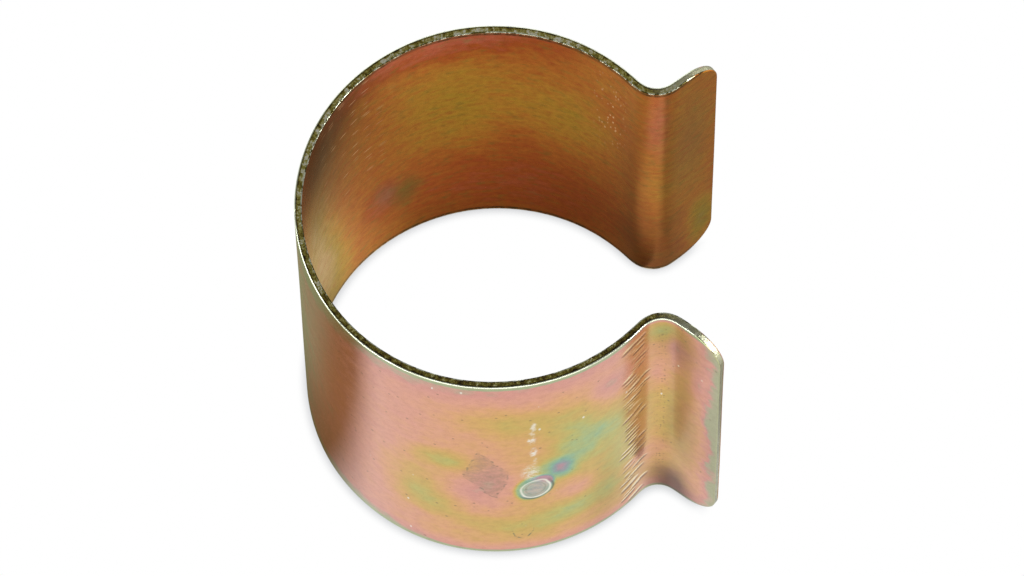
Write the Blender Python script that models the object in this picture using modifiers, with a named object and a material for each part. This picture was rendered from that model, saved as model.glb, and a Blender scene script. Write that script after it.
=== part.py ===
"""Clip-on spring clamp for a 40 mm hose: one strip of spring steel, rolled into an open barrel with two flared lips.

The barrel stands on its lower edge, with its bore along +Z and its mouth towards +X. The strip flexes where it
bends most, at a shoulder on each side of its back, so it is drawn as three lengths of the same strip: the back
band, and a front (-Y) and a rear (+Y) jaw that swing about the shoulders. Run it with
blender --background --python part.py, or from Blender's text editor. Units are metres; angles are in degrees.
"""

import math

import bmesh
import bpy
from mathutils import Matrix, Vector

# The strip
BORE_DIAMETER = 0.040
STRIP_THICKNESS = 0.0008
STRIP_WIDTH = 0.045
CORNER_RADIUS = 0.0044

# The mouth. Polar angles are measured about the bore, from +X.
BARREL_END_ANGLE = 42.3
LIP_BEND_RADIUS = 0.0029  # at the middle of the strip's thickness
LIP_FLARE_ANGLE = 38.0  # between a lip and +X
LIP_LENGTH = 0.0056  # the straight end of the lip

# Where the strip flexes
SHOULDER_ANGLE = 135.0
FLEX_GAP = 0.0003  # between two lengths of the strip, so that they can turn

# Facets
BARREL_STEP = 2.5
LIP_BEND_STEP = 9.0
CORNER_SEGMENTS = 8

MIDDLE_RADIUS = (BORE_DIAMETER + STRIP_THICKNESS) / 2
OUTER_RADIUS = MIDDLE_RADIUS + STRIP_THICKNESS / 2

FINISH_NAME = "yellow_zinc_plate"
FINISH_COLOR = (0.60, 0.40, 0.20, 1.0)
FINISH_ROUGHNESS = 0.34


def polar(radius, angle):
    """The point at this radius and angle about the origin, in the XY plane."""
    return Vector((radius * math.cos(math.radians(angle)), radius * math.sin(math.radians(angle)), 0.0))


def arc(centre, radius, start, end, step):
    """Points along an arc, both ends included, in equal steps no longer than the one given."""
    count = math.ceil(abs(end - start) / step)
    return [centre + polar(radius, start + (end - start) * i / count) for i in range(count + 1)]


def barrel_arc(start, end):
    return arc(Vector((0.0, 0.0, 0.0)), MIDDLE_RADIUS, start, end, BARREL_STEP)


def lip_line():
    """The rear lip's middle line: the bend back out of the barrel, then the straight flare."""
    centre = polar(MIDDLE_RADIUS + LIP_BEND_RADIUS, BARREL_END_ANGLE)
    start = BARREL_END_ANGLE + 180.0
    bend = arc(centre, LIP_BEND_RADIUS, start, 270.0 + LIP_FLARE_ANGLE, LIP_BEND_STEP)
    return bend + [bend[-1] + polar(LIP_LENGTH, LIP_FLARE_ANGLE)]


def mouth_reach():
    """How far the lips reach along +X from the bore's axis."""
    tip = lip_line()[-1]
    return tip.x + STRIP_THICKNESS / 2 * math.sin(math.radians(LIP_FLARE_ANGLE))


def shoulder(side):
    """The flexing point at the middle of the strip's thickness. Side is 1 at the rear and -1 at the front."""
    point = polar(MIDDLE_RADIUS, SHOULDER_ANGLE)
    return Vector((point.x, side * point.y, 0.0))


def clear_scene():
    for obj in list(bpy.data.objects):
        bpy.data.objects.remove(obj, do_unlink=True)


def finish_material():
    material = bpy.data.materials.new(FINISH_NAME)
    material.use_nodes = True
    shader = material.node_tree.nodes["Principled BSDF"]
    shader.inputs["Base Color"].default_value = FINISH_COLOR
    shader.inputs["Metallic"].default_value = 1.0
    shader.inputs["Roughness"].default_value = FINISH_ROUGHNESS
    return material


def ribbon_mesh(name, line, origin):
    """The strip's middle surface: the line, moved so that origin is at zero, drawn up to the strip's width."""
    bm = bmesh.new()
    verts = [bm.verts.new(point - origin) for point in line]
    edges = [bm.edges.new(pair) for pair in zip(verts, verts[1:])]
    drawn = bmesh.ops.extrude_edge_only(bm, edges=edges)
    raised = [item for item in drawn["geom"] if isinstance(item, bmesh.types.BMVert)]
    bmesh.ops.translate(bm, verts=raised, vec=Vector((0.0, 0.0, STRIP_WIDTH)))
    bmesh.ops.recalc_face_normals(bm, faces=bm.faces)
    mesh = bpy.data.meshes.new(name)
    bm.to_mesh(mesh)
    bm.free()
    return mesh


def round_corners(strip, end):
    """Rounds the strip's two corners at the end of its line."""
    corners = strip.vertex_groups.new(name="corners")
    reach = STRIP_THICKNESS / 4
    near = [v.index for v in strip.data.vertices if (v.co.xy - end.xy).length < reach]
    corners.add(near, 1.0, "REPLACE")
    bevel = strip.modifiers.new("Rounded corners", "BEVEL")
    bevel.affect = "VERTICES"
    bevel.limit_method = "VGROUP"
    bevel.vertex_group = corners.name
    bevel.width = CORNER_RADIUS
    bevel.segments = CORNER_SEGMENTS


def strip_length(name, line, origin, place, has_lip):
    """One length of the strip as an object whose origin is at the given point of the line's own frame."""
    strip = bpy.data.objects.new(name, ribbon_mesh(name, line, origin))
    strip.location = origin
    strip.parent = place["bore"]
    if has_lip:
        round_corners(strip, line[-1] - origin)
    solidify = strip.modifiers.new("Strip thickness", "SOLIDIFY")
    solidify.thickness = STRIP_THICKNESS
    solidify.offset = 0.0
    solidify.use_even_offset = True
    strip.data.materials.append(place["material"])
    place["collection"].objects.link(strip)
    return strip


def back_band(place, half_gap):
    line = barrel_arc(SHOULDER_ANGLE + half_gap, 360.0 - SHOULDER_ANGLE - half_gap)
    return strip_length("back_band", line, Vector((0.0, 0.0, 0.0)), place, has_lip=False)


def jaw(name, side, place, half_gap):
    """A jaw from its shoulder to the end of its lip, with its origin on the shoulder's axis."""
    line = barrel_arc(SHOULDER_ANGLE - half_gap, BARREL_END_ANGLE)[:-1] + lip_line()
    mirrored = [Matrix.Diagonal((1.0, side, 1.0)) @ point for point in line]
    return strip_length(name, mirrored, shoulder(side), place, has_lip=True)


def main():
    clear_scene()
    collection = bpy.data.collections.new("hose_clamp")
    bpy.context.scene.collection.children.link(collection)

    # The row's origin is the middle of the footprint, so the bore's axis stands behind it.
    bore = bpy.data.objects.new("bore_axis", None)
    bore.location.x = (OUTER_RADIUS - mouth_reach()) / 2
    collection.objects.link(bore)

    place = {"bore": bore, "collection": collection, "material": finish_material()}
    half_gap = math.degrees(FLEX_GAP / 2 / MIDDLE_RADIUS)
    back_band(place, half_gap)
    jaw("rear_jaw", 1, place, half_gap)
    jaw("front_jaw", -1, place, half_gap)


main()
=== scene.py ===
"""The looks of the hose clamp: one unbroken strip of yellow-chromated spring steel, on a pale floor.

The strip is modelled as the flat blank that it was cut as, and then bent to shape. A place on the blank is
(s, z, n): s runs along the strip from the middle of its back, + towards the rear lip, z runs up its width from
its foot to its head, and n through its thickness, + on the outside. Lengths on the blank are in millimetres.
"""

import math
import random

import bpy
import numpy as np
from mathutils import Matrix, Vector


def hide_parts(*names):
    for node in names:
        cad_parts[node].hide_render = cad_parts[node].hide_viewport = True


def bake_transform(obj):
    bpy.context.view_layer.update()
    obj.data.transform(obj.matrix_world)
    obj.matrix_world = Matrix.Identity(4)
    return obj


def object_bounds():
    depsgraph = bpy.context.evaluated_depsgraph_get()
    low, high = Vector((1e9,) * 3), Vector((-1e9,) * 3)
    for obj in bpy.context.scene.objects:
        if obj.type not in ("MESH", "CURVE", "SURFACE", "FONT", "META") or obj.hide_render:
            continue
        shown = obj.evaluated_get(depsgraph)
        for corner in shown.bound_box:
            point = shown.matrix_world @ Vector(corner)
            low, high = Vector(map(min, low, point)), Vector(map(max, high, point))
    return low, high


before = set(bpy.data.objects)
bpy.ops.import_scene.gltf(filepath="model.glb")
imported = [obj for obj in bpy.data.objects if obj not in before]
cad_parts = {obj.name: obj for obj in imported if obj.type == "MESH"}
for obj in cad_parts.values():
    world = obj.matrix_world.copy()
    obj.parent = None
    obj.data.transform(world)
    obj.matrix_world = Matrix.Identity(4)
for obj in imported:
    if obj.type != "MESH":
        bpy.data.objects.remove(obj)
cad_low, cad_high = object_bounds()

MM = 0.001

# The formed strip, as the CAD has it
THICKNESS = 0.8
BARREL_END_ANGLE = 42.3
LIP_BEND_RADIUS = 2.9
LIP_FLARE_ANGLE = 38.0
LIP_LENGTH = 5.6
CORNER_RADIUS = 4.4
WIDTH = (cad_high.z - cad_low.z) / MM
OUTER_RADIUS = (cad_high.y - cad_low.y) / 2 / MM
MIDDLE_RADIUS = OUTER_RADIUS - THICKNESS / 2
BORE_AXIS = Vector((cad_low.x + OUTER_RADIUS * MM, 0.0, 0.0))

# Lengths along half of the blank
BARREL_END = MIDDLE_RADIUS * math.radians(180.0 - BARREL_END_ANGLE)
BEND_END = BARREL_END + LIP_BEND_RADIUS * math.radians(90.0 + LIP_FLARE_ANGLE - BARREL_END_ANGLE)
LIP_END = BEND_END + LIP_LENGTH
CORNER_START = LIP_END - CORNER_RADIUS

# How the press bends it
BEND_EASE = 1.5  # how far a bend's start and end are spread each way
BEND_STEP = 0.01  # between the places where its heading is worked out

# The sheared edge
OUTER_FILLET = 0.14
INNER_FILLET = 0.12
EDGE_TAPER = 0.08  # how much further the outer side stands than the inner one
EDGE_TOLERANCE = 0.05  # points this near to a long side of the outline are on its sheared edge
LIP_TOLERANCE = 0.02  # and points this near to the lip's end are on its straight part
FILLET_STEPS = 3
EDGE_STEPS = 6
CORNER_STEPS = 14

# Marks that the press left on the outside of both jaws
FORMING_MARKS_AT = 48.0  # how far along half of the blank their middle is
FORMING_MARKS_START = 44.5  # where the blank's columns get closer for them
FULL_MARK = 0.05  # the relief of a mark that the material draws in full
FRONT_MARKS_SEED = 5
REAR_MARKS_SEED = 8

# A dried drop on the outside of the front jaw, and the part of the blank that is drawn finer for it
DRIP = {"s": -35.95, "z": 17.0, "half_length": 1.62, "half_height": 2.4, "turn": 8.0}
DRIP_COLUMNS = (33.2, 38.6)
DRIP_ROWS = (13.4, 20.6)
DRIP_RIM_HEIGHT = 0.055
DRIP_DISH_DEPTH = 0.02
DRIP_DISH_REACH = 0.85  # the dish's part of the whole drop

# The specks above it: z, how far along towards the front lip, half length, half height, and how white
DRIP_TRAIL = [
    (33.8, 35.8, 0.30, 1.0, 0.8),
    (32.0, 35.7, 0.26, 0.7, 0.5),
    (30.2, 35.6, 0.40, 0.9, 0.9),
    (27.0, 35.8, 0.36, 1.1, 1.0),
    (24.6, 35.9, 0.20, 0.9, 0.4),
    (21.6, 35.5, 0.90, 1.8, 0.7),
]

# A dull diamond on the same face: how far along, z, half length, half height and turn
SMUDGE = (30.9, 21.5, 2.5, 6.2, 8.0)

# The oval that a small arc below it is part of, and how high up the arc reaches
SMUDGE_ARC = (34.6, 6.4, 1.15, 2.7)
SMUDGE_ARC_TOP = 6.6


def srgb(red, green, blue):
    """A colour given as a screen shows it, 0 to 255, as Blender wants it."""
    def linear(value):
        value /= 255.0
        return value / 12.92 if value <= 0.04045 else ((value + 0.055) / 1.055) ** 2.4
    return (linear(red), linear(green), linear(blue), 1.0)


def grey(level):
    return (level, level, level, 1.0)


# ---------------------------------------------------------------- the blank

# Each face's material
OUTSIDE, INSIDE, EDGE = range(3)


def spaced(start, end, step):
    """Even steps from start, with the end left out."""
    count = max(1, round((end - start) / step))
    return np.linspace(start, end, count, endpoint=False)


def column_places():
    """Where the blank's columns stand along its straight part, closer where there is more to show.

    The first few are close so that the two halves' shading meets at the seam between them.
    """
    return np.concatenate([
        [0.0, 0.1, 0.25, 0.5],
        spaced(0.8, DRIP_COLUMNS[0], 0.6),
        spaced(*DRIP_COLUMNS, 0.15),
        spaced(DRIP_COLUMNS[1], FORMING_MARKS_START, 0.5),
        spaced(FORMING_MARKS_START, BEND_END, 0.22),
        spaced(BEND_END, CORNER_START, 0.4),
    ])


def row_shares():
    """Where the blank's rows stand across its width, from 0 to 1."""
    places = np.concatenate([
        spaced(0.0, DRIP_ROWS[0], 0.2),
        spaced(*DRIP_ROWS, 0.14),
        spaced(DRIP_ROWS[1], WIDTH, 0.2),
        [WIDTH],
    ])
    return places / WIDTH


def skin(inset):
    """One face of half the blank, this far in from its outline: (s, z) for each column and row."""
    straight = column_places()
    turn = np.linspace(0.0, math.pi / 2, CORNER_STEPS + 1)
    radius = CORNER_RADIUS - inset
    along = np.concatenate([straight, CORNER_START + radius * np.sin(turn)])
    rise = np.concatenate([np.full(len(straight), inset), CORNER_RADIUS - radius * np.cos(turn)])
    across = rise[:, None] + row_shares()[None, :] * (WIDTH - 2 * rise)[:, None]
    return np.dstack([np.broadcast_to(along[:, None], across.shape), across])


def rim(grid):
    """The skin's own outline from the seam's foot, round the lip and back to the seam's head."""
    return np.concatenate([grid[:, 0], grid[-1, 1:], grid[-2::-1, -1]])


def rim_directions(columns, rows):
    """Which way is out of the blank at each point of a rim."""
    straight = columns - CORNER_STEPS - 1
    turn = np.linspace(0.0, math.pi / 2, CORNER_STEPS + 1)
    corner = np.stack([np.sin(turn), -np.cos(turn)], 1)
    foot = np.concatenate([np.tile([0.0, -1.0], (straight, 1)), corner])
    head = foot[::-1] * [1.0, -1.0]
    return np.concatenate([foot, np.tile([1.0, 0.0], (rows - 2, 1)), head])


def rim_profile():
    """The lines round the edge, in order from the outer skin to the inner one, in three lists.

    A line of the outer or the inner fillet is (how far out, height), and one of the wall is just its height.
    """
    half = THICKNESS / 2
    turn = np.linspace(0.0, math.pi / 2, FILLET_STEPS + 1)[1:]
    outer = [(OUTER_FILLET * math.sin(a), half - OUTER_FILLET * (1 - math.cos(a))) for a in turn]
    inner = [(INNER_FILLET * math.sin(a), -half + INNER_FILLET * (1 - math.cos(a))) for a in turn[::-1]]
    top, bottom = outer[-1][1], inner[0][1]
    wall = [top + (bottom - top) * i / EDGE_STEPS for i in range(1, EDGE_STEPS)]
    return outer, wall, inner


def layer(flat, height):
    """Flat places, each (s, z), put at this height through the thickness."""
    return np.column_stack([flat.reshape(-1, 2), np.full(flat.size // 2, height)])


def blank_places(outer_grid, inner_grid):
    """The points of half the blank: the outer skin's, the inner skin's, and each line's round the edge."""
    out = rim_directions(*outer_grid.shape[:2])
    outer_rim, inner_rim = rim(outer_grid), rim(inner_grid)
    outline = outer_rim + out * OUTER_FILLET
    outer, wall, inner = rim_profile()
    places = [layer(outer_grid, THICKNESS / 2), layer(inner_grid, -THICKNESS / 2)]
    places += [layer(outer_rim + out * reach, height) for reach, height in outer]
    places += [layer(outline, height) for height in wall]
    places += [layer(inner_rim + out * reach, height) for reach, height in inner]
    return np.concatenate(places)


def quads(grid):
    """The four-sided faces of a grid of point numbers."""
    return np.stack([grid[:-1, :-1], grid[:-1, 1:], grid[1:, 1:], grid[1:, :-1]], -1).reshape(-1, 4)


def blank_faces(columns, rows):
    """The faces of half the blank, with its points in the order of blank_places, and each one's material."""
    skin_size = columns * rows
    index = np.arange(skin_size).reshape(columns, rows)
    rim_size = len(rim(index))
    line_count = 2 * FILLET_STEPS + EDGE_STEPS - 1
    rings = [rim(index)]
    rings += [2 * skin_size + i * rim_size + np.arange(rim_size) for i in range(line_count)]
    rings += [rim(index) + skin_size]

    parts = [quads(index), quads(index + skin_size)[:, ::-1]]
    parts += [quads(np.stack(pair)) for pair in zip(rings, rings[1:])]
    kinds = [OUTSIDE, INSIDE] + [OUTSIDE] * FILLET_STEPS + [EDGE] * EDGE_STEPS + [INSIDE] * FILLET_STEPS

    # The seam at the middle of the back, closed so that the half is a solid of its own
    parts.append(quads(np.stack([index[0], index[0] + skin_size])))
    kinds.append(EDGE)
    foot = [ring[0] for ring in rings]
    head = [ring[-1] for ring in rings]
    faces = [face.tolist() for part in parts for face in part]
    materials = [kind for part, kind in zip(parts, kinds) for _ in part]
    return faces + [foot[::-1], head], materials + [EDGE, EDGE]


# ---------------------------------------------------------------- the relief

def on_outside(place):
    return place[:, 2] > THICKNESS / 2 - OUTER_FILLET / 2


def ripple(place):
    """The slight waviness that rolling leaves, alike on both faces."""
    s, z = place[:, 0], place[:, 1]
    slow = np.sin(s / 5.3 + 0.7 * np.sin(z / 9.0)) * 0.020
    cross = np.sin(z / 6.1 + s / 11.0 + 1.3) * 0.012
    fine = np.sin(s / 2.1 - z / 4.0) * 0.008
    return slow + cross + fine


def drip_distance(place):
    """0 in the middle of the drip mark and 1 at its rim."""
    turn = math.radians(DRIP["turn"])
    s, z = place[:, 0] - DRIP["s"], place[:, 1] - DRIP["z"]
    along = s * math.cos(turn) - z * math.sin(turn)
    up = s * math.sin(turn) + z * math.cos(turn)
    return np.hypot(along / (DRIP["half_length"] * (1 - 0.05 * up)), up / DRIP["half_height"])


def drip_relief(place):
    """A dried drop of plating: a raised rim round a shallow dish."""
    away = drip_distance(place)
    raised = DRIP_RIM_HEIGHT * np.exp(-(((away - 0.93) / 0.085) ** 2))
    sunk = DRIP_DISH_DEPTH * (away < DRIP_DISH_REACH) * (1 - (away / DRIP_DISH_REACH) ** 2)
    return raised - sunk


def forming_marks(place, side, seed):
    """Short ridges, each with a groove under it, where the strip was dragged over the tool by the lip's bend.

    Side is 1 at the rear and -1 at the front.
    """
    draw = random.Random(seed)
    s, z = place[:, 0] * side, place[:, 1]
    relief = np.zeros(len(place))
    # Up across the strip, clear of both of its edges
    height = 1.6
    while height < WIDTH - 1.5:
        middle = FORMING_MARKS_AT + draw.uniform(-1.0, 0.9)
        reach = draw.uniform(0.7, 1.6)
        tilt = draw.uniform(0.15, 0.45)
        width = draw.uniform(0.17, 0.30)
        depth = draw.uniform(0.020, 0.055)
        fade = np.clip(1 - ((s - middle) / reach) ** 2, 0, 1)
        over = z - height - tilt * (s - middle)
        relief += depth * np.exp(-((over / width) ** 2)) * fade
        relief -= 0.7 * depth * np.exp(-(((over + 1.8 * width) / width) ** 2)) * fade
        height += draw.uniform(0.35, 1.1)
    return relief


def tool_marks(place):
    """The forming marks of both jaws, on the outside alone."""
    front = forming_marks(place, -1.0, FRONT_MARKS_SEED)
    rear = forming_marks(place, 1.0, REAR_MARKS_SEED)
    marks = np.where(place[:, 0] < 0, front, rear)
    return np.where(on_outside(place), marks, 0.0)


def burr(place):
    """How far the sheared edge stands out of true."""
    s, z, n = place.T
    line = 0.012 * np.sin(s / 0.9 + 1.7 * np.sin(s / 3.1)) + 0.010 * np.sin(s / 0.37 + z)
    torn = 0.012 * np.sin(s / 0.29 + 5.0 * n) * np.sin(n * 9.0 + s / 0.7)
    return line + torn


def in_relief(place):
    """The blank's points with its waviness and marks pressed in."""
    side = np.where(place[:, 0] < 0, -1.0, 1.0)
    lifted = place.copy()
    lifted[:, 2] += ripple(place)
    lifted[:, 2] += tool_marks(place) + np.where(on_outside(place), drip_relief(place), 0.0)

    from_middle = place[:, 1] - WIDTH / 2
    straight = np.abs(place[:, 0]) < CORNER_START
    edge = np.abs(np.abs(from_middle) - WIDTH / 2) < EDGE_TOLERANCE
    shear = burr(place) + EDGE_TAPER * (place[:, 2] / THICKNESS - 0.5)
    lifted[:, 1] += np.where(edge & straight, np.sign(from_middle) * shear, 0.0)
    lifted[:, 0] += np.where(np.abs(place[:, 0]) > LIP_END - LIP_TOLERANCE, side * shear, 0.0)
    return lifted


# ---------------------------------------------------------------- bending it to shape

def formed_line(length):
    """The rear half's middle line at these lengths along it: where it is, and which way is out.

    The strip's heading is worked out every BEND_STEP millimetres, and evened out where one curve meets the
    next, as a press leaves it.
    """
    along = np.arange(-BEND_EASE, LIP_END + 2 * BEND_EASE, BEND_STEP)
    end = math.radians(BARREL_END_ANGLE - 90.0)
    bends = [-BEND_EASE, BARREL_END, BEND_END, LIP_END + 2 * BEND_EASE]
    flare = math.radians(LIP_FLARE_ANGLE)
    heading = np.interp(along, bends, [math.pi / 2 + BEND_EASE / MIDDLE_RADIUS, end, flare, flare])
    window = np.hanning(round(2 * BEND_EASE / BEND_STEP))
    heading = np.convolve(heading, window / window.sum(), "valid")
    along = along[0] + BEND_STEP * (np.arange(len(heading)) + (len(window) - 1) / 2)
    steps = np.stack([np.cos(heading), np.sin(heading)], 1) * BEND_STEP
    track = np.cumsum(steps, axis=0)
    track += [-MIDDLE_RADIUS, 0.0] - np.array([np.interp(0.0, along, axis) for axis in track.T])
    line = np.stack([np.interp(length, along, axis) for axis in track.T], 1)
    turned = np.interp(length, along, heading)
    return line, np.stack([-np.sin(turned), np.cos(turned)], 1)


def formed(place):
    """Points of the blank, bent to shape, in metres."""
    s, z, n = place.T
    line, out = formed_line(np.abs(s))
    flat = line + out * n[:, None]
    side = np.where(s < 0, -1.0, 1.0)
    return np.column_stack([flat[:, 0], flat[:, 1] * side, z]) * MM + np.array(BORE_AXIS)


def remember_place(mesh, place):
    """Gives each point of a mesh its place before bending, for the materials to be drawn on."""
    attribute = mesh.attributes.new("place", "FLOAT_VECTOR", "POINT")
    attribute.data.foreach_set("vector", np.asarray(place, np.float32).ravel())


def crease_seam(mesh, place):
    """Keeps the face that closes a half at the seam out of its smooth shading."""
    ends = np.empty(len(mesh.edges) * 2, np.int32)
    mesh.edges.foreach_get("vertices", ends)
    on_seam = np.abs(place[ends.reshape(-1, 2), 0]).max(1) < 1e-6
    mesh.attributes.new("sharp_edge", "BOOLEAN", "EDGE").data.foreach_set("value", on_seam)


def strip_half(name, side, materials):
    """One half of the strip, from the middle of its back to its lip.

    Side is 1 at the rear and -1 at the front.
    """
    outer_grid, inner_grid = skin(OUTER_FILLET), skin(INNER_FILLET)
    place = blank_places(outer_grid, inner_grid) * [side, 1.0, 1.0]
    polygons, kinds = blank_faces(*outer_grid.shape[:2])
    if side < 0:
        polygons = [polygon[::-1] for polygon in polygons]
    mesh = bpy.data.meshes.new(name)
    mesh.from_pydata(formed(in_relief(place)).tolist(), [], polygons)
    for material in materials:
        mesh.materials.append(material)
    mesh.polygons.foreach_set("material_index", kinds)
    remember_place(mesh, place)
    mark = mesh.attributes.new("mark", "FLOAT", "POINT")
    mark.data.foreach_set("value", (tool_marks(place) / FULL_MARK).astype(np.float32))
    mesh.shade_smooth()
    crease_seam(mesh, place)
    half = bpy.data.objects.new(name, mesh)
    bpy.context.scene.collection.objects.link(half)
    return half


# ---------------------------------------------------------------- materials

class Graph:
    """A material's nodes. A method adds nodes and gives their output; its values are numbers or outputs."""

    def __init__(self, name):
        self.material = bpy.data.materials.new(name)
        self.material.use_nodes = True
        self.tree = self.material.node_tree
        self.shader = self.tree.nodes["Principled BSDF"]
        self.place = self.node("Attribute", attribute_name="place").outputs["Vector"]
        self.s, self.z, self.n = self.node("SeparateXYZ", self.place).outputs
        self.flat = self.plane(self.s)

    def plane(self, along):
        """Places on one face of the blank, with this as the length along it."""
        return self.node("CombineXYZ", along, self.z).outputs[0]

    def feed(self, socket, value):
        """Sets an input to a number or a colour, or links an output to it."""
        if isinstance(value, bpy.types.NodeSocket):
            self.tree.links.new(value, socket)
        else:
            socket.default_value = value

    def node(self, kind, *values, inputs=None, **settings):
        """A new node, with the values fed to its inputs in order and the rest to those named in inputs."""
        made = self.tree.nodes.new("ShaderNode" + kind)
        for setting, value in settings.items():
            setattr(made, setting, value)
        for socket, value in zip(made.inputs, values):
            self.feed(socket, value)
        for socket, value in (inputs or {}).items():
            self.feed(made.inputs[socket], value)
        return made

    def math(self, operation, *values):
        return self.node("Math", *values, operation=operation).outputs[0]

    def add(self, *values):
        total = values[0]
        for value in values[1:]:
            total = self.math("ADD", total, value)
        return total

    def times(self, *values):
        product = values[0]
        for value in values[1:]:
            product = self.math("MULTIPLY", product, value)
        return product

    def step(self, value, low, high, start=0.0, end=1.0):
        """Goes smoothly from start to end as the value goes from low to high."""
        made = self.node("MapRange", value, low, high, start, end, interpolation_type="SMOOTHSTEP")
        return made.outputs[0]

    def band(self, value, middle, reach):
        """1 where the value is at the middle, and 0 from the reach on either side of it."""
        away = self.math("ABSOLUTE", self.math("SUBTRACT", value, middle))
        return self.step(away, reach, 0.0)

    def noise(self, vector, scale, detail=2.0, roughness=0.5, output="Fac"):
        inputs = {"Vector": vector, "Scale": scale, "Detail": detail, "Roughness": roughness}
        return self.node("TexNoise", inputs=inputs).outputs[output]

    def uneven(self, vector, scale, amount, detail=3.0):
        """Noise about zero, that stays within the amount either way."""
        centred = self.math("SUBTRACT", self.noise(vector, scale, detail, 0.55), 0.5)
        return self.times(centred, 2.0 * amount)

    def stretched(self, vector, along, across, turn=0.0):
        """The vector squeezed, so that a pattern on it is along and across times finer."""
        turned = (0.0, 0.0, math.radians(turn))
        return self.node("Mapping", vector, (0.0, 0.0, 0.0), turned, (along, across, 1.0)).outputs[0]

    def warped(self, vector, amount, scale):
        """Places pushed about by up to half the amount, so that a round stain turns ragged."""
        noise = self.noise(vector, scale, 3.0, output="Color")
        shift = self.node("VectorMath", noise, (0.5, 0.5, 0.5), operation="SUBTRACT").outputs[0]
        scaled = self.node("VectorMath", shift, (amount, amount, 0.0), operation="MULTIPLY").outputs[0]
        return self.node("VectorMath", vector, scaled, operation="ADD").outputs[0]

    def local(self, vector, along, across, length, height, turn=0.0):
        """Places measured from an oval's middle, in its half length and half height."""
        turned = (0.0, 0.0, math.radians(turn))
        where = (along, across, 0.0)
        size = (length, height, 1.0)
        return self.node("Mapping", vector, where, turned, size, vector_type="TEXTURE").outputs[0]

    def oval(self, vector, *where):
        """How far a place is from an oval's middle: 1 on its outline."""
        return self.node("VectorMath", self.local(vector, *where), operation="LENGTH").outputs["Value"]

    def diamond(self, vector, *where):
        """How far a place is from a diamond's middle: 1 on its outline."""
        along, across, _ = self.node("SeparateXYZ", self.local(vector, *where)).outputs
        return self.add(self.math("ABSOLUTE", along), self.math("ABSOLUTE", across))

    def spot(self, vector, amount, *where):
        """A soft oval spot: half of the amount on its outline, and none from twice as far out."""
        return self.step(self.oval(vector, *where), 2.0, 0.0, 0.0, amount)

    def stains(self, vector, listed):
        """The sum of soft spots, each (amount, along, across, half length, half height, turn)."""
        return self.add(*[self.spot(vector, amount, *where) for amount, *where in listed])

    def ramp(self, value, stops):
        """The colour at this value, from (position, colour) stops in order."""
        made = self.node("ValToRGB", value)
        elements = made.color_ramp.elements
        for position, colour in stops[2:]:
            elements.new(position)
        for element, (position, colour) in zip(elements, stops):
            element.position = position
            element.color = colour
        return made.outputs["Color"]

    def mix(self, share, a, b, blend="MIX"):
        """Colour a, with this share of colour b over it."""
        made = self.node("Mix", data_type="RGBA", blend_type=blend)
        self.feed(made.inputs[0], share)
        self.feed(made.inputs[6], a)
        self.feed(made.inputs[7], b)
        return made.outputs[2]

    def specks(self, vector, size, share):
        """1 in scattered dots, in about this share of the cells of this size."""
        cells = self.node("TexVoronoi", inputs={"Vector": vector, "Scale": 1.0 / size})
        drawn = self.node("SeparateColor", cells.outputs["Color"]).outputs[0]
        dot = self.step(cells.outputs["Distance"], 0.42, 0.18)
        return self.times(dot, self.math("LESS_THAN", drawn, share))

    def bump(self, height, distance, normal=None):
        """A normal bumped by this height, times the distance in millimetres."""
        made = self.node("Bump", inputs={"Height": height, "Distance": distance * MM})
        if normal is not None:
            self.feed(made.inputs["Normal"], normal)
        return made.outputs[0]


# The colours that the chromate film runs through as it gets thicker
FILM = [
    (0.00, srgb(176, 186, 140)),
    (0.07, srgb(196, 176, 146)),
    (0.15, srgb(228, 158, 142)),
    (0.27, srgb(236, 167, 138)),
    (0.38, srgb(236, 173, 118)),
    (0.48, srgb(228, 178, 96)),
    (0.58, srgb(216, 182, 86)),
    (0.68, srgb(200, 192, 98)),
    (0.77, srgb(174, 196, 130)),
    (0.87, srgb(138, 186, 158)),
    (0.94, srgb(150, 160, 164)),
    (1.00, srgb(196, 150, 160)),
]

# The same inside the barrel, where its colours are deeper
DEEP_FILM = [
    (0.00, srgb(140, 140, 92)),
    (0.12, srgb(206, 106, 88)),
    (0.26, srgb(186, 84, 34)),
    (0.40, srgb(200, 120, 46)),
    (0.54, srgb(200, 146, 52)),
    (0.68, srgb(186, 152, 46)),
    (0.82, srgb(170, 150, 54)),
    (1.00, srgb(186, 164, 122)),
]

# The sheared edge, from its deepest tears to its smooth places
EDGE_TONES = [
    (0.26, srgb(34, 27, 16)),
    (0.42, srgb(98, 84, 38)),
    (0.54, srgb(140, 132, 58)),
    (0.64, srgb(196, 188, 118)),
    (0.72, srgb(246, 244, 222)),
]

BRIGHT_ZINC = srgb(226, 232, 206)

# How thick the film is away from all stains, as places on FILM and DEEP_FILM
PLAIN_OUTSIDE = 0.17
PLAIN_INSIDE = 0.40

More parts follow.
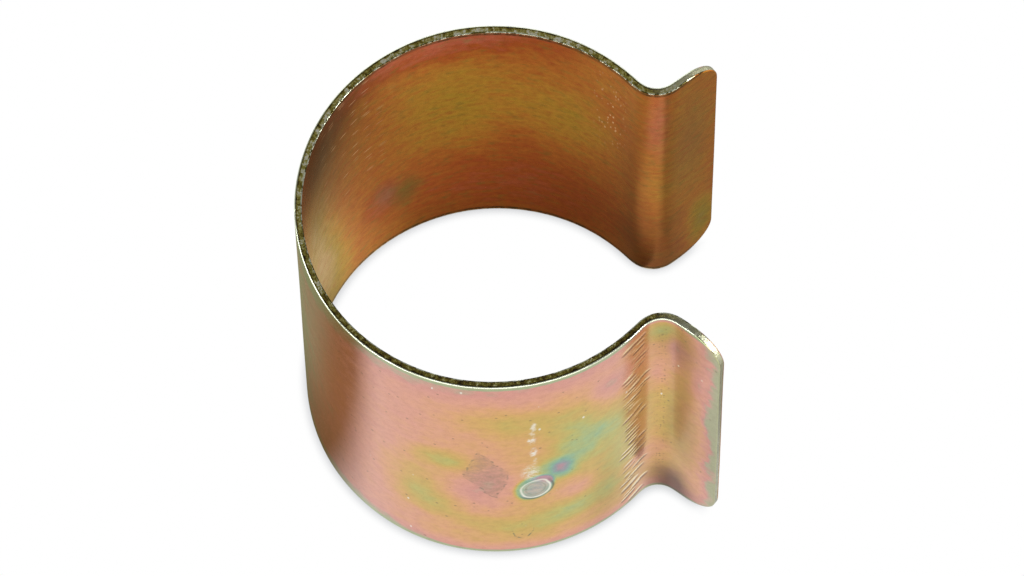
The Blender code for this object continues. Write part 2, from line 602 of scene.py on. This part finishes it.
# Soft spots of thicker or thinner film, as Graph.stains takes them. Outside, places run from the back towards
# the front lip.
OUTSIDE_STAINS = [
    # The yellow field round the drop, and two patches near the head
    (0.32, 39.0, 18.0, 16.0, 22.0, 0.0),
    (0.16, 31.0, 36.0, 4.4, 2.6, 0.0),
    (0.20, 38.5, 34.0, 5.0, 3.2, 0.0),
    # Teal and violet above the drop
    (0.30, 40.4, 25.2, 2.5, 5.6, 0.0),
    (0.08, 43.2, 26.6, 2.2, 4.6, 0.0),
    (0.36, 38.2, 21.2, 1.7, 2.4, 20.0),
    (0.10, 44.8, 27.5, 2.4, 2.6, 0.0),
    # Greener beside the forming marks, and a little yellower along the foot
    (0.24, 46.2, 18.0, 2.8, 11.0, 0.0),
    (0.06, 36.0, 4.0, 12.0, 3.0, 0.0),
    # Pinker places on the bend, and thin film down the middle of the back
    (-0.20, 51.4, 31.0, 1.4, 3.4, 0.0),
    (-0.18, 50.6, 11.0, 1.8, 3.0, 0.0),
    (-0.12, 1.0, 22.0, 4.0, 26.0, 0.0),
    # A broken yellow ring round the smudge
    (0.30, 26.2, 24.4, 3.2, 1.9, 0.0),
    (0.16, 22.5, 18.0, 2.8, 3.4, 0.0),
    (0.30, 23.9, 12.4, 3.2, 3.0, 0.0),
    (0.16, 29.5, 8.6, 3.8, 1.8, -20.0),
    (0.24, 39.0, 8.2, 5.6, 2.2, 10.0),
    # Pink within it, below the drop and beside the forming marks
    (-0.30, 31.4, 19.5, 2.4, 5.4, 0.0),
    (-0.16, 28.0, 17.0, 2.0, 3.0, 0.0),
    (-0.20, 40.2, 14.4, 2.2, 2.0, 0.0),
    (-0.26, 44.6, 36.5, 2.2, 2.8, 0.0),
    (-0.24, 47.6, 10.6, 1.6, 1.3, 0.0),
    # The lip, and the head of its bend
    (0.20, 53.0, 22.0, 3.0, 20.0, 0.0),
    (-0.30, 53.4, 37.5, 1.0, 3.2, 0.0),
    (-0.20, 56.4, 33.0, 0.8, 3.2, 0.0),
    (0.42, 51.2, 43.0, 3.6, 2.4, 0.0),
    # The rear half
    (0.14, -22.0, 31.0, 9.0, 4.6, 20.0),
    (0.18, -36.0, 14.0, 8.0, 4.0, -15.0),
]

# Inside, places run from the back towards the rear lip, as they do in the lists below.
INSIDE_STAINS = [
    # Two yellow fields, and a redder foot
    (0.24, 28.0, 29.0, 5.5, 8.0, 0.0),
    (0.20, 40.0, 27.0, 4.4, 6.0, 0.0),
    (-0.17, 36.0, 8.0, 13.0, 8.0, -6.0),
    # Paler beside the back
    (0.20, 4.0, 34.0, 5.0, 10.0, 0.0),
    (0.60, 8.0, 12.0, 3.4, 14.0, 8.0),
    # A red spot, and the lip
    (-0.14, 18.4, 11.5, 1.8, 4.0, 0.0),
    (0.44, 57.4, 7.0, 1.6, 4.0, 0.0),
    (0.12, 55.0, 26.0, 3.0, 16.0, 0.0),
    # The front half
    (0.30, -20.0, 30.0, 7.0, 6.0, 0.0),
    (0.24, -40.0, 18.0, 6.0, 5.0, 0.0),
    (-0.16, -30.0, 9.0, 9.0, 6.0, 0.0),
]

# Inside, where something else dried on the film: its colour, and one soft spot
INSIDE_TINTS = [
    (srgb(150, 112, 104), (0.6, 19.0, 12.6, 1.3, 2.4, 0.0)),
    (srgb(108, 104, 48), (0.7, 21.8, 10.6, 1.5, 2.6, 0.0)),
    (srgb(196, 104, 96), (0.6, 51.6, 37.0, 0.9, 6.0, 0.0)),
    (srgb(128, 92, 66), (0.4, 55.6, 30.0, 2.0, 9.0, 0.0)),
]

# Painted shade by the bends and down the front lip outside, and by the back's head and on the rear bend inside
PAINTED_SHADE_OUTSIDE = [
    (1.00, -53.3, 1.0, 2.6, 3.9, 0.0),
    (0.24, -51.0, 5.0, 3.0, 3.0, 0.0),
    (0.34, -53.4, 40.0, 2.8, 4.0, 0.0),
    (0.32, -54.4, 22.0, 1.4, 15.0, 0.0),
    (0.40, 53.2, 4.0, 2.0, 3.8, 0.0),
    (0.24, 50.0, 30.0, 2.0, 12.0, 0.0),
]

PAINTED_SHADE_INSIDE = [
    (0.90, 5.0, 42.0, 8.5, 6.0, 0.0),
    (0.50, 9.0, 33.0, 5.0, 8.0, 0.0),
    (0.60, 51.0, 2.0, 3.0, 10.0, 0.0),
    (0.30, 50.6, 22.0, 2.4, 14.0, 0.0),
]


def near_edge(g):
    """How far a place is from the strip's nearer long edge, in millimetres."""
    return g.math("MINIMUM", g.z, g.math("SUBTRACT", WIDTH, g.z))


def plated(g, rough, smooth):
    """What both faces share: a metal's shine, as rough as this in places and as smooth as this in others.

    Gives the normal, which has the faint grain of rolled sheet.
    """
    wear_and_sheen = g.noise(g.flat, 0.6, 3.0, 0.6)
    g.feed(g.shader.inputs["Roughness"], g.step(wear_and_sheen, 0.3, 0.7, smooth, rough))
    g.shader.inputs["Metallic"].default_value = 1.0
    lines = g.noise(g.stretched(g.flat, 0.6, 4.0), 1.0, 3.0, 0.6)
    grain = g.noise(g.flat, 5.0, 3.0, 0.6)
    return g.bump(g.add(g.times(lines, 0.07), g.times(grain, 0.5)), 0.0011)


def drip_stain(g, seen, colour):
    """The dried drop: a dull dish, a pale rim with a painted highlight, and a painted shadow on its lower
    right.
    """
    where = (-DRIP["s"], DRIP["z"], DRIP["half_length"], DRIP["half_height"], -DRIP["turn"])
    away = g.oval(g.warped(seen, 0.5, 0.4), *where)
    along, across, _ = g.node("SeparateXYZ", g.local(seen, *where)).outputs
    lower_right = g.step(g.math("SUBTRACT", along, across), -0.8, 1.0)
    dish = g.step(away, 0.95, 0.75)
    mottled = g.step(g.noise(seen, 1.2, 3.0, 0.6), 0.35, 0.65, 0.35, 0.9)
    colour = g.mix(g.times(dish, mottled), colour, srgb(206, 190, 170))
    colour = g.mix(g.times(g.band(away, 0.66, 0.09), 0.5), colour, srgb(150, 148, 122))
    # Painted shadow just outside the rim, on its lower right
    shadow = g.times(g.band(away, 1.14, 0.13), lower_right, 0.85)
    colour = g.mix(shadow, colour, srgb(96, 92, 70))
    # The rim's painted highlight, stronger on its lower right and broken by noise
    wear_and_sheen = g.add(g.step(lower_right, 0.0, 0.9, 0.75, 1.0), g.uneven(seen, 0.5, 0.6))
    return g.mix(g.times(g.band(away, 0.95, 0.12), wear_and_sheen), colour, srgb(255, 250, 232))


def drip_trail(g, seen, colour):
    """The ragged white specks above the drop."""
    ragged = g.warped(seen, 0.7, 1.1)
    lumpy = g.step(g.noise(seen, 1.5, 3.0, 0.7), 0.34, 0.62)
    for up, along, half_length, half_height, white in DRIP_TRAIL:
        speck = g.step(g.oval(ragged, along, up, half_length, half_height, 0.0), 1.5, 0.4, 0.0, white)
        colour = g.mix(g.times(speck, lumpy), colour, srgb(252, 246, 230))
    return colour


def smudge(g, seen, colour):
    """A dull diamond where something was stuck on the strip, and a small arc below it."""
    away = g.diamond(g.warped(seen, 1.5, 0.45), *SMUDGE)
    mottled = g.step(g.noise(seen, 1.1, 4.0, 0.65), 0.30, 0.72, 0.15, 0.75)
    colour = g.mix(g.times(g.step(away, 1.15, 0.80), mottled), colour, srgb(170, 132, 104))
    broken = g.step(g.noise(seen, 1.2, 3.0), 0.42, 0.64)
    colour = g.mix(g.times(g.band(away, 1.0, 0.09), broken, 0.6), colour, srgb(112, 106, 78))
    ring = g.band(g.oval(g.warped(seen, 0.5, 0.8), *SMUDGE_ARC), 1.0, 0.10)
    arc = g.times(ring, g.step(g.z, SMUDGE_ARC_TOP, SMUDGE_ARC_TOP - 1.0))
    return g.mix(g.times(arc, broken), colour, srgb(130, 122, 74))


def outside_film(g, seen, reach):
    """How thick the film is outside, as a place on FILM. Reach is measured from the middle of the back."""
    film = g.add(PLAIN_OUTSIDE, g.uneven(g.flat, 0.085, 0.10), g.uneven(g.flat, 0.5, 0.10))
    film = g.add(film, g.stains(g.warped(seen, 2.0, 0.2), OUTSIDE_STAINS))
    rear_half = g.step(g.s, -4.0, 12.0)
    film = g.add(film, g.times(rear_half, g.add(g.uneven(g.flat, 0.14, 0.40, 1.0), 0.10)))
    halo = g.oval(seen, -DRIP["s"] - 0.1, DRIP["z"] + 0.3, 2.2, 3.2, -DRIP["turn"])
    film = g.add(film, g.step(halo, 1.15, 0.8, 0.0, 0.42))
    from_head = g.math("SUBTRACT", WIDTH, g.z)
    film = g.add(film, g.step(from_head, 5.0, 1.4, 0.0, -0.12), g.step(g.z, 3.6, 0.8, 0.0, -0.16))
    film = g.add(film, g.step(near_edge(g), 1.0, 0.3, 0.0, -0.34))
    ragged = g.add(reach, g.uneven(g.flat, 0.30, 2.4, 3.0))
    lip = g.step(ragged, LIP_END - 2.4, LIP_END - 0.3)
    return g.add(g.times(film, g.math("SUBTRACT", 1.0, lip)), g.times(lip, 0.02))


def press_marks(g, colour, dragged):
    """Rubbed film and painted shade by the bends, and painted highlight and shade on the forming marks."""
    colour = g.mix(g.times(dragged, 0.22), colour, srgb(226, 172, 112))
    painted_shade = g.stains(g.warped(g.flat, 1.6, 0.3), PAINTED_SHADE_OUTSIDE)
    colour = g.mix(painted_shade, colour, srgb(122, 92, 54), "MULTIPLY")
    mark = g.node("Attribute", attribute_name="mark").outputs["Fac"]
    # The forming marks' ridges: burnished, with a painted highlight
    colour = g.mix(g.step(mark, 0.12, 0.55, 0.0, 1.0), colour, srgb(252, 230, 184))
    # Their grooves: painted shade
    return g.mix(g.step(mark, -0.04, -0.30, 0.0, 0.8), colour, srgb(120, 76, 38))


def pits_and_glints(g, seen, reach, colour):
    """Dark pits all over and more of them on the bends, and a few bright flecks."""
    pits = g.specks(g.flat, 0.5, 0.022)
    by_bend = g.times(g.specks(g.flat, 0.42, 0.45), g.band(reach, 51.6, 1.2))
    colour = g.mix(g.times(g.math("MAXIMUM", pits, by_bend), 0.55), colour, srgb(112, 92, 56))
    glints = g.specks(g.stretched(seen, 1.0, 0.5, 25.0), 0.45, 0.004)
    return g.mix(g.times(glints, 0.7), colour, srgb(255, 250, 236))


def outside_material():
    """The outside: a thin, pale, iridescent film, with the marks that the press left in it."""
    g = Graph("chromate_outside")
    # Places as the stains and the drop have them, + towards the front lip
    seen = g.plane(g.times(g.s, -1.0))
    reach = g.math("ABSOLUTE", g.s)
    dragged = g.band(reach, FORMING_MARKS_AT + 0.6, 4.2)
    colour = g.ramp(outside_film(g, seen, reach), FILM)
    grime = g.noise(g.flat, 1.1, 4.0, 0.65)
    colour = g.mix(g.step(grime, 0.35, 0.75, 0.0, 0.18), colour, srgb(150, 118, 92), "MULTIPLY")
    colour = smudge(g, seen, colour)
    colour = drip_trail(g, seen, drip_stain(g, seen, colour))
    colour = press_marks(g, colour, dragged)
    colour = pits_and_glints(g, seen, reach, colour)
    colour = g.mix(g.step(near_edge(g), 0.26, 0.12), colour, BRIGHT_ZINC)
    g.feed(g.shader.inputs["Base Color"], colour)
    scratches = g.times(g.noise(g.stretched(g.flat, 0.4, 3.2), 1.0, 3.0, 0.6), dragged)
    g.feed(g.shader.inputs["Normal"], g.bump(scratches, 0.02, plated(g, 0.24, 0.16)))
    return g.material


def inside_film(g):
    """How thick the film is inside, as a place on DEEP_FILM."""
    film = g.add(PLAIN_INSIDE, g.uneven(g.flat, 0.08, 0.10), g.uneven(g.flat, 0.5, 0.07))
    film = g.add(film, g.uneven(g.stretched(g.flat, 0.3, 1.1), 1.0, 0.12))
    film = g.add(film, g.stains(g.warped(g.flat, 3.4, 0.14), INSIDE_STAINS))
    ragged = g.add(g.uneven(g.flat, 0.16, 4.0), g.uneven(g.flat, 0.7, 3.0))
    from_head = g.add(g.math("SUBTRACT", WIDTH, g.z), ragged)
    head = g.times(g.step(from_head, 8.0, 0.0), g.step(g.s, 46.0, 32.0))
    return g.add(film, g.times(head, -0.25))


def tints_and_painted_shade(g, colour):
    """The tints, the green and red mottling, the grime, and painted shade by the back's head and on the rear
    bend.
    """
    for tint, where in INSIDE_TINTS:
        colour = g.mix(g.stains(g.warped(g.flat, 2.4, 0.3), [where]), colour, tint)
    mottle = g.noise(g.stretched(g.flat, 0.6, 1.0), 0.9, 3.0, 0.65)
    colour = g.mix(g.step(mottle, 0.50, 0.72, 0.0, 0.40), colour, srgb(124, 118, 52))
    colour = g.mix(g.step(mottle, 0.50, 0.28, 0.0, 0.35), colour, srgb(176, 64, 40))
    grime = g.noise(g.flat, 1.3, 4.0, 0.65)
    colour = g.mix(g.step(grime, 0.3, 0.75, 0.0, 0.35), colour, srgb(170, 130, 90), "MULTIPLY")
    painted_shade = g.stains(g.warped(g.flat, 3.0, 0.2), PAINTED_SHADE_INSIDE)
    return g.mix(painted_shade, colour, srgb(92, 66, 40), "MULTIPLY")


def scuffs(g, colour):
    """Pale streaks on the rear shoulder, and a cluster of dots before the rear bend."""
    streaks = g.specks(g.stretched(g.flat, 0.32, 1.8), 0.6, 0.22)
    shoulder = g.times(g.band(g.s, 14.0, 8.0), g.step(g.z, 17.0, 25.0))
    dots = g.specks(g.stretched(g.flat, 1.4, 0.7), 0.5, 0.36)
    cluster = g.times(dots, g.band(g.s, 45.8, 2.8), g.band(g.z, 34.0, 12.0))
    scuffed = g.add(g.times(streaks, shoulder, 0.7), g.times(cluster, 1.2))
    return g.mix(scuffed, colour, srgb(255, 214, 176))


def inside_edges(g, colour):
    """A broken dark line along each long edge, and the bright fillet beside it."""
    edge = near_edge(g)
    broken = g.step(g.noise(g.flat, 1.3, 3.0, 0.7), 0.44, 0.56)
    line = g.times(g.band(edge, 0.50, 0.42), g.step(broken, 0.0, 1.0, 1.0, 0.5))
    colour = g.mix(line, colour, srgb(44, 30, 16))
    fillet = g.mix(broken, srgb(96, 88, 44), BRIGHT_ZINC)
    return g.mix(g.step(edge, 0.30, 0.14), colour, fillet)


def inside_material():
    """The inside: the same film, thicker where the plating drained slowly."""
    g = Graph("chromate_inside")
    colour = g.ramp(inside_film(g), DEEP_FILM)
    colour = inside_edges(g, scuffs(g, tints_and_painted_shade(g, colour)))
    g.feed(g.shader.inputs["Base Color"], colour)
    g.shader.inputs["Specular Tint"].default_value = srgb(255, 238, 212)
    g.feed(g.shader.inputs["Normal"], plated(g, 0.30, 0.22))
    return g.material


def edge_material():
    """The sheared edge: torn and speckled, dark with old film, paler at the lips, with painted light and
    shade.
    """
    g = Graph("sheared_edge")
    coarse = g.noise(g.place, 2.1, 3.0, 0.7)
    torn = g.add(g.times(coarse, 1.5), g.times(g.noise(g.place, 5.0, 2.0, 0.7), 0.5), -0.5)
    blotch = g.noise(g.place, 0.5, 2.0)
    # Painted light: the edge brighter from the front half towards the rear
    rear = g.step(g.s, -22.0, 2.0, -0.05, 0.09)
    # Painted shade: a dark line along the edge's outer side
    painted_dark_rim = g.step(g.n, 0.05, 0.28, 0.0, -0.24)
    tone = g.add(g.times(torn, 0.85), g.times(blotch, 0.15), rear, painted_dark_rim)
    colour = g.ramp(tone, EDGE_TONES)
    lip = g.step(g.math("ABSOLUTE", g.s), 50.0, 55.0, 0.0, 0.65)
    g.feed(g.shader.inputs["Base Color"], g.mix(lip, colour, srgb(190, 192, 166)))
    g.feed(g.shader.inputs["Roughness"], g.step(torn, 0.3, 0.7, 0.46, 0.26))
    g.feed(g.shader.inputs["Normal"], g.bump(torn, 0.05))
    g.shader.inputs["Metallic"].default_value = 1.0
    return g.material


# ---------------------------------------------------------------- the studio

PAPER_REACH = 1.5  # metres from the middle of a sheet to its sides
FLOOR_HEIGHT = -0.05  # millimetres, just under the clamp
MIRRORED_FLOOR_HEIGHT = -0.06
SKY_STRENGTH = 0.28


def softbox(name, direction, distance, size, radiance):
    """A rectangular lamp that looks at the clamp from this direction."""
    lamp = bpy.data.lights.new(name, "AREA")
    lamp.shape = "RECTANGLE"
    lamp.size, lamp.size_y = size
    lamp.energy = radiance * math.pi * size[0] * size[1]
    holder = bpy.data.objects.new(name, lamp)
    way = Vector(direction).normalized()
    holder.location = way * distance + Vector((0.0, 0.0, WIDTH / 2 * MM))
    holder.rotation_mode = "QUATERNION"
    holder.rotation_quaternion = way.to_track_quat("Z", "Y")
    bpy.context.scene.collection.objects.link(holder)


def sheet_of_paper(name, height, shows_to_camera, material):
    """A level sheet under the clamp, seen either by the camera alone or by everything else alone."""
    mesh = bpy.data.meshes.new(name)
    corners = [(x * PAPER_REACH, y * PAPER_REACH, 0.0) for x, y in ((-1, -1), (1, -1), (1, 1), (-1, 1))]
    mesh.from_pydata(corners, [], [(0, 1, 2, 3)])
    mesh.materials.append(material)
    remember_place(mesh, [(Vector(corner) - BORE_AXIS) / MM for corner in corners])
    sheet = bpy.data.objects.new(name, mesh)
    sheet.location.z = height * MM
    sheet.visible_camera = shows_to_camera
    sheet.visible_glossy = not shows_to_camera
    sheet.visible_diffuse = not shows_to_camera
    sheet.visible_shadow = not shows_to_camera
    bpy.context.scene.collection.objects.link(sheet)


def glowing_paper(g, colour):
    """A sheet that glows with this colour by itself and takes no light from the lamps."""
    g.shader.inputs["Base Color"].default_value = grey(0.0)
    g.shader.inputs["Specular IOR Level"].default_value = 0.0
    g.feed(g.shader.inputs["Emission Color"], colour)
    g.shader.inputs["Emission Strength"].default_value = 1.0
    g.material.cycles.emission_sampling = "NONE"
    return g.material


def floor():
    """White paper that glows evenly, with painted shade where the clamp stands near it."""
    g = Graph("white_paper")
    # Painted shade: the glow is darkened where the clamp is near
    shade = g.node("AmbientOcclusion", samples=8, inputs={"Distance": 1.6 * MM}).outputs["AO"]
    white = g.mix(g.step(shade, 0.30, 0.90), (0.60, 0.61, 0.63, 1.0), grey(1.0))
    sheet_of_paper("floor", FLOOR_HEIGHT, True, glowing_paper(g, white))


def bore_mirrored(g, x, y, radius):
    """Painted shade within the bore, darker by its wall and to the rear, and painted light by the back and the
    mouth.
    """
    colour = g.mix(g.step(radius, 20.2, 14.0), (0.34, 0.30, 0.22, 1.0), (0.62, 0.57, 0.46, 1.0))
    colour = g.mix(g.spot(g.flat, 0.75, 9.0, 14.0, 9.0, 5.0), colour, (0.20, 0.15, 0.10, 1.0))
    colour = g.mix(g.spot(g.flat, 0.8, -13.0, 11.0, 4.5, 5.0), colour, (0.95, 0.88, 0.72, 1.0))
    by_mouth = g.times(g.step(x, 2.0, 13.0), g.step(y, 12.0, 7.0))
    return g.mix(by_mouth, colour, (0.95, 0.92, 0.86, 1.0))


def painted_dark_corner(g, x, y, radius):
    """A painted dark corner, left of a line out from the clamp's back: how much is here, and its colour."""
    left_side = g.math("SUBTRACT", y, g.add(g.times(x, 0.373), -7.7))
    share = g.times(g.step(left_side, -3.5, 7.0), g.step(x, -12.0, -16.0))
    share = g.times(share, g.step(x, -80.0, -38.0), g.step(y, 60.0, 12.0))
    colour = g.mix(g.step(y, -9.0, 4.0), (0.30, 0.19, 0.085, 1.0), (0.31, 0.32, 0.18, 1.0))
    return share, g.mix(g.step(radius, 27.0, 20.8, 0.0, 0.5), colour, (0.10, 0.07, 0.03, 1.0))


def painted_reflection_floor():
    """Painted light and shade for the plating to mirror: pale in front, a dark corner to the left, a shaded
    bore.

    Places on it are in millimetres from the bore's axis.
    """
    g = Graph("painted_reflection_paper")
    x, y = g.s, g.z
    radius = g.node("VectorMath", g.flat, operation="LENGTH").outputs["Value"]
    in_bore = g.step(radius, 20.6, 20.2)
    # Painted light and shade: brighter far from the clamp, darker by the barrel's foot beside the front lip
    colour = g.mix(g.step(radius, 40.0, 80.0), grey(0.85), grey(1.25))
    colour = g.mix(g.spot(g.flat, 0.35, 14.6, -18.4, 4.0, 1.8), colour, (0.40, 0.37, 0.34, 1.0))
    colour = g.mix(in_bore, colour, bore_mirrored(g, x, y, radius))
    share, dark = painted_dark_corner(g, x, y, radius)
    colour = g.mix(g.times(share, g.math("SUBTRACT", 1.0, in_bore)), colour, dark)

    # Painted shade right of a line out from the rear lip's bend
    right_side = g.add(y, g.times(x, 1.73), -43.5)
    beside = g.times(g.step(right_side, -5.0, 5.0), g.step(x, 14.0, 17.0), g.step(x, 80.0, 60.0))
    colour = g.mix(beside, colour, (0.44, 0.41, 0.36, 1.0))
    sheet_of_paper("painted_reflection_floor", MIRRORED_FLOOR_HEIGHT, False, glowing_paper(g, colour))


def studio_light():
    """Long lamps in front and behind, a small bright one by the mouth, two on the left, and a pale sky."""
    softbox("front", (0.0, -0.92, 0.38), 0.7, (1.0, 0.26), 4.0)
    softbox("back", (0.0, 0.92, 0.38), 0.7, (1.0, 0.26), 1.5)
    softbox("key", (0.87, -0.27, 0.42), 0.6, (0.27, 0.20), 25.0)
    softbox("low_left", (-0.76, -0.61, 0.22), 0.6, (0.28, 0.12), 9.0)
    softbox("left", (-0.79, 0.06, 0.60), 0.8, (0.35, 0.35), 6.0)
    world = bpy.data.worlds.new("studio")
    world.use_nodes = True
    sky = world.node_tree.nodes["Background"]
    sky.inputs["Color"].default_value = grey(1.0)
    sky.inputs["Strength"].default_value = SKY_STRENGTH
    bpy.context.scene.world = world
    bpy.context.scene.view_settings.view_transform = "Standard"


# The camera: its angles in degrees, where it looks and how far away it is in metres, and its lens
CAMERA_AZIMUTH = 0.08
CAMERA_ELEVATION = 66.16
CAMERA_ROLL = -0.87
CAMERA_TARGET = Vector((0.00033, 0.00047, 0.0225))
CAMERA_DISTANCE = 0.8613
LENS = 283.8
SENSOR_WIDTH = 36.0


def camera():
    """A long lens that looks down at the clamp from the front, with its mouth to the right."""
    angles = (CAMERA_AZIMUTH, CAMERA_ELEVATION, CAMERA_ROLL)
    azimuth, elevation, roll = (math.radians(angle) for angle in angles)
    level = Vector((math.sin(azimuth), -math.cos(azimuth), 0.0))
    back = level * math.cos(elevation) + Vector((0.0, 0.0, math.sin(elevation)))
    right = Vector((math.cos(azimuth), math.sin(azimuth), 0.0))
    up = back.cross(right)
    axes = Matrix((right, up, back)).transposed() @ Matrix.Rotation(roll, 3, "Z")
    lens = bpy.data.cameras.new("camera")
    lens.lens = LENS
    lens.sensor_width = SENSOR_WIDTH
    lens.clip_start = 0.05
    lens.clip_end = 10.0
    eye = bpy.data.objects.new("camera", lens)
    eye.matrix_world = Matrix.Translation(CAMERA_TARGET + back * CAMERA_DISTANCE) @ axes.to_4x4()
    bpy.context.scene.collection.objects.link(eye)
    bpy.context.scene.camera = eye


def main():
    camera()
    floor()
    painted_reflection_floor()
    studio_light()
    materials = [outside_material(), inside_material(), edge_material()]
    # Each half takes the place of one jaw and its side of the back band; the CAD's jaw and back band are
    # hidden
    for name, side, node in (("band_front", -1, "front_jaw"), ("band_rear", 1, "rear_jaw")):
        half = strip_half(name, side, materials)
        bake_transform(half)
        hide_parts(node, "back_band")


main()
